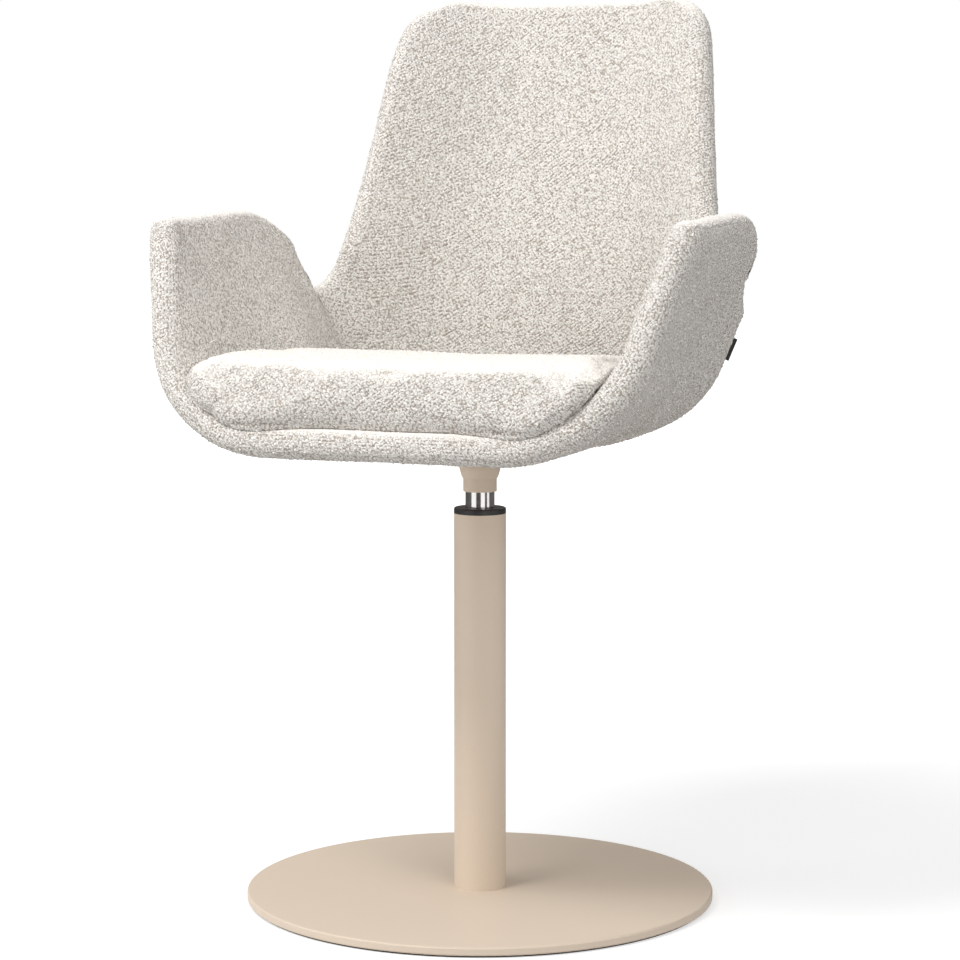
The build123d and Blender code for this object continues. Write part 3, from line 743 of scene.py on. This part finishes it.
def cushion_ring(height):
    """Closed outline of the cushion at a height, lifted at the arms and sagging over the front rim."""
    front, back, wide, narrow, front_round, back_round = (
        eased(np.array([height]), CUSHION[:, 0], CUSHION[:, k])[0] for k in range(1, 7)
    )
    front += cushion_inset
    back -= cushion_inset
    wide -= cushion_inset
    narrow -= cushion_inset
    turns = np.linspace(0, pi / 2, corner_points)
    to_side = 1 - np.sin(turns)
    to_end = 1 - np.cos(turns)
    x = np.concatenate([wide - front_round * to_side, narrow - back_round * to_end])
    y = np.concatenate([front + front_round * to_end, back - back_round * to_side])
    x = np.concatenate([x, -x[::-1]])
    y = np.concatenate([y, y[::-1]])
    lift = side_lift * (np.abs(x) / CUSHION[:, 3].max()) ** side_lift_power * height / CUSHION[-1, 0]
    sag = front_sag * np.clip((sag_start - y) / sag_length, 0, 1) * np.clip(1 - height / sag_top, 0, 1)
    return in_seat(x, y, flattening * height + lift - sag)


def cushion_blank():
    """The pillow before it is inflated, as a closed mesh."""
    share = (1 - np.cos(np.linspace(0, pi, cushion_levels))) / 2
    low = CUSHION[0, 0] + bottom_room
    high = CUSHION[-1, 0]
    rings = [cushion_ring(low + part * (high - low)) for part in share]
    count = len(rings[0])
    points = np.concatenate(rings + [rings[0].mean(0)[None], rings[-1].mean(0)[None]])
    order = np.arange(count * len(rings)).reshape(len(rings), count)
    order = np.concatenate([order, order[:, :1]], 1)
    faces = grid_faces(order).tolist()
    bottom, top = len(points) - 2, len(points) - 1
    faces += [[bottom, order[0, i + 1], order[0, i]] for i in range(count)]
    faces += [[top, order[-1, i], order[-1, i + 1]] for i in range(count)]
    mesh = bpy.data.meshes.new("seat_cushion")
    mesh.from_pydata((points * MM).tolist(), [], faces)
    mesh.update()
    piece = bpy.data.objects.new("seat_cushion", mesh)
    bpy.context.scene.collection.objects.link(piece)
    return piece


# %% [markdown]
# ### Inflating it
# The remesh gives even quads for the cloth. After twenty frames the points are read back, pulled in
# where they went too far, and lifted off the lining where they came too close.

# %% Inflate the cushion
voxel = 5.0 * MM
pressure = 4.0
last_frame = 20
most_move = 5.0 * MM
least_gap = 0.6 * MM
longest_reach = 20 * MM
cloth_steps = 5
tightening = -0.04


def apply_modifiers(piece):
    """Makes what the modifiers show the piece's own mesh."""
    shown = piece.evaluated_get(bpy.context.evaluated_depsgraph_get())
    made = bpy.data.meshes.new_from_object(shown)
    piece.modifiers.clear()
    piece.data = made


def set_points(mesh, points):
    mesh.vertices.foreach_set("co", points.ravel())
    mesh.update()


def inflate(piece):
    """Blows the piece up with the cloth simulation and caps how far its points move."""
    before = points_of(piece.data)
    cloth = piece.modifiers.new("cloth", "CLOTH")
    cloth.settings.use_pressure = True
    cloth.settings.uniform_pressure_force = pressure
    cloth.settings.effector_weights.gravity = 0.0
    cloth.settings.quality = cloth_steps
    cloth.settings.shrink_min = tightening
    cloth.point_cache.frame_start = 1
    cloth.point_cache.frame_end = last_frame
    for step in range(1, last_frame + 1):
        bpy.context.scene.frame_set(step)
    apply_modifiers(piece)
    bpy.context.scene.frame_set(1)
    moved = points_of(piece.data) - before
    length = np.linalg.norm(moved, axis=1, keepdims=True)
    set_points(piece.data, before + moved * np.minimum(1.0, most_move / np.maximum(length, 1e-9)))
    print("cushion points moved up to", round(float(length.max()) / MM, 1), "mm before the cap")


def keep_off(piece, neighbour):
    """Moves the piece's points out of a neighbour's surface, to the side its faces look to."""
    tree = BVHTree.FromPolygons(
        [tuple(point) for point in points_of(neighbour.data)],
        [tuple(face.vertices) for face in neighbour.data.polygons],
    )
    points = points_of(piece.data)
    lifted = 0
    for i, point in enumerate(points):
        near, normal, _, distance = tree.find_nearest(Vector(point))
        height = (Vector(point) - near).dot(normal)
        if height < least_gap and distance < longest_reach:
            points[i] += np.array(normal) * (least_gap - height)
            lifted += 1
    set_points(piece.data, points)
    print("cushion points lifted off the lining:", lifted)


cushion = cushion_blank()
remesh = cushion.modifiers.new("even", "REMESH")
remesh.mode = "VOXEL"
remesh.voxel_size = voxel
apply_modifiers(cushion)
inflate(cushion)
smooth = cushion.modifiers.new("smooth", "SMOOTH")
smooth.factor = 0.5
smooth.iterations = 3
fine = cushion.modifiers.new("fine", "SUBSURF")
fine.levels = 1
fine.render_levels = 1
apply_modifiers(cushion)

# %% [markdown]
# ### Its sewn edge
# A seam runs round the cushion low on its side, where the top panel meets the bottom one. It draws the
# cloth in by a millimetre. The cloth coordinates come from the seat's own frame, seen from
# above, and wrap down the sides.

# %% Cushion seam and cloth coordinates
cushion_seam_height = 2.0
cushion_seam_width = 3.5
cushion_seam_depth = 1.0
cushion_ripple = 0.6
ripple_start = 20.0
side_sharpness = 1.6
drop_per_height = 0.9
far_from_seam = 0.01


def dress_cushion(piece):
    """Draws in the seam, ripples the padding and writes the cloth coordinates."""
    mesh = piece.data
    points = points_of(mesh) / MM
    normals = np.zeros(len(mesh.vertices) * 3)
    mesh.vertices.foreach_get("normal", normals)
    normals = normals.reshape(-1, 3)
    local = points - seat_origin
    height = local @ seat_up - half_thickness
    away = np.abs(height - cushion_seam_height)
    sideways = np.clip(side_sharpness * (1 - np.abs(normals @ seat_up)), 0, 1)
    draw = cushion_seam_depth * np.exp(-((away / cushion_seam_width) ** 2)) * sideways
    upper = np.clip(height / ripple_start, 0, 1)
    points += normals * (ripples(points, cushion_ripple) * upper - draw)[:, None]
    set_points(mesh, points * MM)
    fabric = np.stack([local[:, 0], local @ seat_back + height * drop_per_height], -1) * MM
    layer = mesh.uv_layers.new(name="fabric")
    corners = np.zeros(len(mesh.loops), int)
    mesh.loops.foreach_get("vertex_index", corners)
    layer.uv.foreach_set("vector", fabric[corners].astype(np.float32).ravel())
    # The material presses a groove along this seam and paints a little shade into it.
    add_values(mesh, "cushion_seam", away * MM + (1 - sideways) * far_from_seam)
    add_values(mesh, "upward", normals[:, 2])
    mesh.shade_smooth()


dress_cushion(cushion)
keep_off(cushion, inside_cover)
cushion.data.materials.clear()
cushion.data.materials.append(cushion_cloth)
print("cushion has", triangles(cushion), "triangles")

# %% [markdown]
# ## Yarn loops that stand out
# Bump shading can't change an outline, but real boucle has loops that stand out of it. Geometry Nodes
# scatter thousands of tiny flattened beads over each cover: they repeat, follow a surface and need only
# a few faces each. The tree's inputs are the loops per square metre and their size, and its seed is
# fixed, so every run gives the same loops. A density stored on the cover keeps them off hidden places.


# %% Build the tree that scatters loops
def loop_tree():
    """Scatters yarn loops over the mesh that it is given, and leaves only the loops."""
    tree = bpy.data.node_groups.new("yarn_loops", "GeometryNodeTree")
    tree.interface.new_socket("Geometry", in_out="INPUT", socket_type="NodeSocketGeometry")
    for label, default in (("Loops per square metre", 18000.0), ("Loop Radius", 1.25 * MM)):
        socket = tree.interface.new_socket(label, in_out="INPUT", socket_type="NodeSocketFloat")
        socket.default_value = default
    socket = tree.interface.new_socket("Seed", in_out="INPUT", socket_type="NodeSocketInt")
    socket.default_value = 7
    tree.interface.new_socket("Cloth", in_out="INPUT", socket_type="NodeSocketMaterial")
    tree.interface.new_socket("Geometry", in_out="OUTPUT", socket_type="NodeSocketGeometry")
    given = tree.nodes.new("NodeGroupInput").outputs
    result = tree.nodes.new("NodeGroupOutput").inputs
    nap = node(tree, "GeometryNodeInputNamedAttribute", {"Name": "nap"}, data_type="FLOAT")
    density = math_node(tree, "MULTIPLY", given["Loops per square metre"], nap.outputs["Attribute"])
    spread = node(
        tree, "GeometryNodeDistributePointsOnFaces",
        {"Mesh": given["Geometry"], "Density": density, "Seed": given["Seed"]},
    )
    loop = node(tree, "GeometryNodeMeshIcoSphere", {"Radius": given["Loop Radius"], "Subdivisions": 1})
    sizes = node(
        tree, "FunctionNodeRandomValue",
        {0: (0.6, 0.5, 0.4), 1: (1.5, 1.0, 0.8), "Seed": given["Seed"]}, data_type="FLOAT_VECTOR",
    )
    twist = node(
        tree, "FunctionNodeRandomValue",
        {0: (0, 0, 0), 1: (0.3, 0.3, 2 * pi), "Seed": given["Seed"]}, data_type="FLOAT_VECTOR",
    )
    turned = node(
        tree, "FunctionNodeRotateRotation",
        {"Rotation": spread.outputs["Rotation"], "Rotate By": twist.outputs[0]}, rotation_space="LOCAL",
    )
    placed = node(
        tree, "GeometryNodeInstanceOnPoints",
        {
            "Points": spread.outputs["Points"], "Instance": loop.outputs["Mesh"],
            "Rotation": turned.outputs[0], "Scale": sizes.outputs[0],
        },
    )
    smooth = node(tree, "GeometryNodeSetShadeSmooth", {"Geometry": placed.outputs[0]})
    real = node(tree, "GeometryNodeRealizeInstances", {"Geometry": smooth.outputs[0]})
    chosen = {"Geometry": real.outputs[0], "Material": given["Cloth"]}
    dressed = node(tree, "GeometryNodeSetMaterial", chosen)
    tree.links.new(dressed.outputs[0], result["Geometry"])
    return tree


loops = loop_tree()
print("loop tree has", len(loops.nodes), "nodes")


# %% Scatter the loops
covered_sides = 165
covered_front = -225
covered_back = 100
covered_height = 25
bald_edge = 4
lining_density = 27000.0
outer_density = 21000.0
cushion_density = 30000.0


def scatter(name, surface, nap, per_square_metre, seed):
    """A piece of loops over a cover's outer face, thinned by its nap."""
    base = bpy.data.objects.new(name, surface.data.copy())
    bpy.context.scene.collection.objects.link(base)
    add_values(base.data, "nap", nap)
    modifier = base.modifiers.new("loops", "NODES")
    modifier.node_group = loops
    chosen = {"Loops per square metre": per_square_metre, "Seed": seed, "Cloth": loop_cloth}
    for item in loops.interface.items_tree:
        if item.item_type == "SOCKET" and item.in_out == "INPUT" and item.name in chosen:
            modifier[item.identifier] = chosen[item.name]
    apply_modifiers(base)
    print(name, "has", triangles(base), "triangles")
    return base


def open_nap(piece, hidden):
    """1 where loops may grow and 0 where a function says the point is hidden."""
    points = points_of(piece.data) / MM - seat_origin
    height = points @ seat_up - half_thickness
    return np.where(hidden(points[:, 0], points @ seat_back, height), 0.0, 1.0)


def under_cushion(x, y, height):
    """The lining that the cushion covers for good."""
    beside = (np.abs(x) < covered_sides) & (height < covered_height)
    return beside & (y > covered_front) & (y < covered_back)


def below_seam(x, y, height):
    return height < bald_edge


def nowhere(x, y, height):
    return np.zeros_like(x, bool)


open_lining = open_nap(inside_cover, under_cushion)
lining_loops = scatter("lining_loops", inside_cover, open_lining, lining_density, 7)
outer_loops = scatter("outer_loops", outside_cover, open_nap(outside_cover, nowhere), outer_density, 8)
cushion_loops = scatter("cushion_loops", cushion, open_nap(cushion, below_seam), cushion_density, 9)

# %% [markdown]
# ## The bare tab
# A short black tape is folded and sewn into the seam behind the sitter's left arm. Its place and size
# are the engineered ones. A copy of that small block gets rounded edges and a woven finish. It stays
# bare.

# %% Woven tape finish
tape, tree, shader, position = material("black_tape")
ribs = node(tree, "ShaderNodeTexWave", {"Vector": position, "Scale": 330.0, "Distortion": 0.6})
ribs = ribs.outputs["Fac"]
tape_color = blend_colors(tree, ribs, (0.012, 0.012, 0.013, 1), (0.05, 0.05, 0.052, 1))
tree.links.new(tape_color, shader.inputs["Base Color"])
tree.links.new(bump(tree, ribs, 0.15 * MM), shader.inputs["Normal"])
shader.inputs["Roughness"].default_value = 0.85
print("tape:", tape.name)

# %% Round the tab's edges
tab_edge = 0.5 * MM


def rounded_copy(name, source, radius):
    """A merged copy of an engineered block with rounded edges."""
    shape = bmesh.new()
    shape.from_mesh(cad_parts[source].data)
    bmesh.ops.remove_doubles(shape, verts=shape.verts, dist=0.01 * MM)
    bmesh.ops.dissolve_limit(shape, angle_limit=radians(2), verts=shape.verts, edges=shape.edges)
    bmesh.ops.bevel(shape, geom=shape.edges, offset=radius, segments=3, profile=0.5, affect="EDGES")
    mesh = bpy.data.meshes.new(name)
    shape.to_mesh(mesh)
    shape.free()
    mesh.shade_smooth()
    piece = bpy.data.objects.new(name, mesh)
    bpy.context.scene.collection.objects.link(piece)
    return piece


bare_tab = rounded_copy("bare_tab", "label_tab", tab_edge)
bare_tab.data.materials.clear()
bare_tab.data.materials.append(tape)
print("tab has", triangles(bare_tab), "triangles")

# %% [markdown]
# ## What moves with what
# Everything soft turns with the seat. The engineered solids that each modelled piece stands for are
# hidden.

# %% Join the pieces to the seat
for piece, replaced, slot_name in (
    (inside_cover, ["cover_inside"], "boucle"),
    (outside_cover, ["cover_outside"], "boucle"),
    (cushion, ["cushion_cover", "cushion_foam"], "boucle"),
    (lining_loops, [], "boucle"),
    (outer_loops, [], "boucle"),
    (cushion_loops, [], "boucle"),
    (bare_tab, ["label_tab"], "tab_textile"),
):
    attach(piece, "seat")
    if replaced:
        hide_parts(*replaced)
print("pieces on the seat: 7")

# %% [markdown]
# ## Floor and light
# The photo stands on plain white with a soft shadow. The floor is a real one that catches the shadow.
# For camera and mirror rays it also glows a little, so that it reads as white paper, and no lamp has to
# be turned up for that. Four square lamps give the light: the key lamp high at the front left, broader
# ones at the left and the right that fill the sides, and a weak one overhead.

# %% Floor that fades to white
def seen_straight(tree):
    """1 for rays of the camera, of mirrors and through glass, and 0 for the rest."""
    rays = node(tree, "ShaderNodeLightPath").outputs
    seen = math_node(tree, "ADD", rays["Is Camera Ray"], rays["Is Glossy Ray"])
    return math_node(tree, "ADD", seen, rays["Is Transmission Ray"], clamp=True)


floor_mesh = bpy.data.meshes.new("studio_floor")
reach = 12.0
corners = [(-reach, -reach, 0), (reach, -reach, 0), (reach, reach, 0), (-reach, reach, 0)]
floor_mesh.from_pydata(corners, [], [(0, 1, 2, 3)])
floor = bpy.data.objects.new("studio_floor", floor_mesh)
bpy.context.scene.collection.objects.link(floor)
paper, tree, shader, position = material("white_paper")
spot = node(tree, "ShaderNodeVectorMath", {0: position}, operation="LENGTH").outputs["Value"]
glow = math_node(tree, "MULTIPLY", smooth_step(tree, spot, 0.5, 1.6, 0.5, 1.0), seen_straight(tree))
shader.inputs["Base Color"].default_value = (0.58, 0.58, 0.58, 1)
shader.inputs["Roughness"].default_value = 0.9
shader.inputs["Emission Color"].default_value = (1, 1, 1, 1)
tree.links.new(glow, shader.inputs["Emission Strength"])
floor_mesh.materials.append(paper)

# %% Sky and lamps
world = bpy.data.worlds.new("studio")
bpy.context.scene.world = world
world.use_nodes = True
sky = world.node_tree
strength = smooth_step(sky, seen_straight(sky), 0.0, 1.0, 0.45, 1.0)
sky.links.new(strength, sky.nodes["Background"].inputs["Strength"])
sky.nodes["Background"].inputs["Color"].default_value = (1, 1, 1, 1)


def lamp(name, place, target, size, power):
    """A square lamp that looks at a point."""
    data = bpy.data.lights.new(name, "AREA")
    data.size = size
    data.energy = power
    made = bpy.data.objects.new(name, data)
    made.location = place
    made.rotation_euler = (Vector(target) - Vector(place)).to_track_quat("-Z", "Y").to_euler()
    bpy.context.scene.collection.objects.link(made)


lamp("key_lamp", (-1.0, -1.7, 2.85), (0, 0, 0.5), 1.0, 64.0)
lamp("left_lamp", (-2.6, -1.3, 1.0), (0, 0, 0.5), 1.6, 27.0)
lamp("right_lamp", (2.2, -1.9, 1.6), (0, 0, 0.5), 1.8, 30.0)
lamp("overhead_lamp", (0.1, -0.2, 3.0), (0, 0, 0.4), 1.8, 8.0)

# %% [markdown]
# ## Dark flags for the bright spindle
# Plated steel has no colour of its own: it shows what stands round it. In a bare white studio it would
# vanish, so photographers put up narrow dark flags whose reflections draw its roundness. These are
# seen only in reflections, and light falls past them.

# %% Stand the flags up
flag_distance = 1.3
flag_low = 0.0
flag_high = 0.9
flag_points = 25
flag_turns = ((-99.0, -62.0), (-30.0, -11.0), (9.0, 222.0))
flag_paper, tree, shader, position = material("flag_paper")
shader.inputs["Base Color"].default_value = (0.16, 0.15, 0.14, 1)
shader.inputs["Roughness"].default_value = 1.0
for number, (start, end) in enumerate(flag_turns):
    turns = np.radians(np.linspace(start, end, flag_points))
    ring = np.stack([np.cos(turns), np.sin(turns)], -1) * flag_distance
    points = np.concatenate([np.insert(ring, 2, height, axis=1) for height in (flag_low, flag_high)])
    strip = grid_faces(np.arange(2 * flag_points).reshape(2, flag_points))
    flag_mesh = bpy.data.meshes.new(f"flag_{number}")
    flag_mesh.from_pydata(points.tolist(), [], strip.tolist())
    flag_mesh.materials.append(flag_paper)
    flag = bpy.data.objects.new(f"flag_{number}", flag_mesh)
    bpy.context.scene.collection.objects.link(flag)
    flag.visible_camera = False
    flag.visible_diffuse = False
    flag.visible_shadow = False
print("flags:", len(flag_turns))

# %% Colours as they are written
bpy.context.scene.view_settings.view_transform = "Standard"
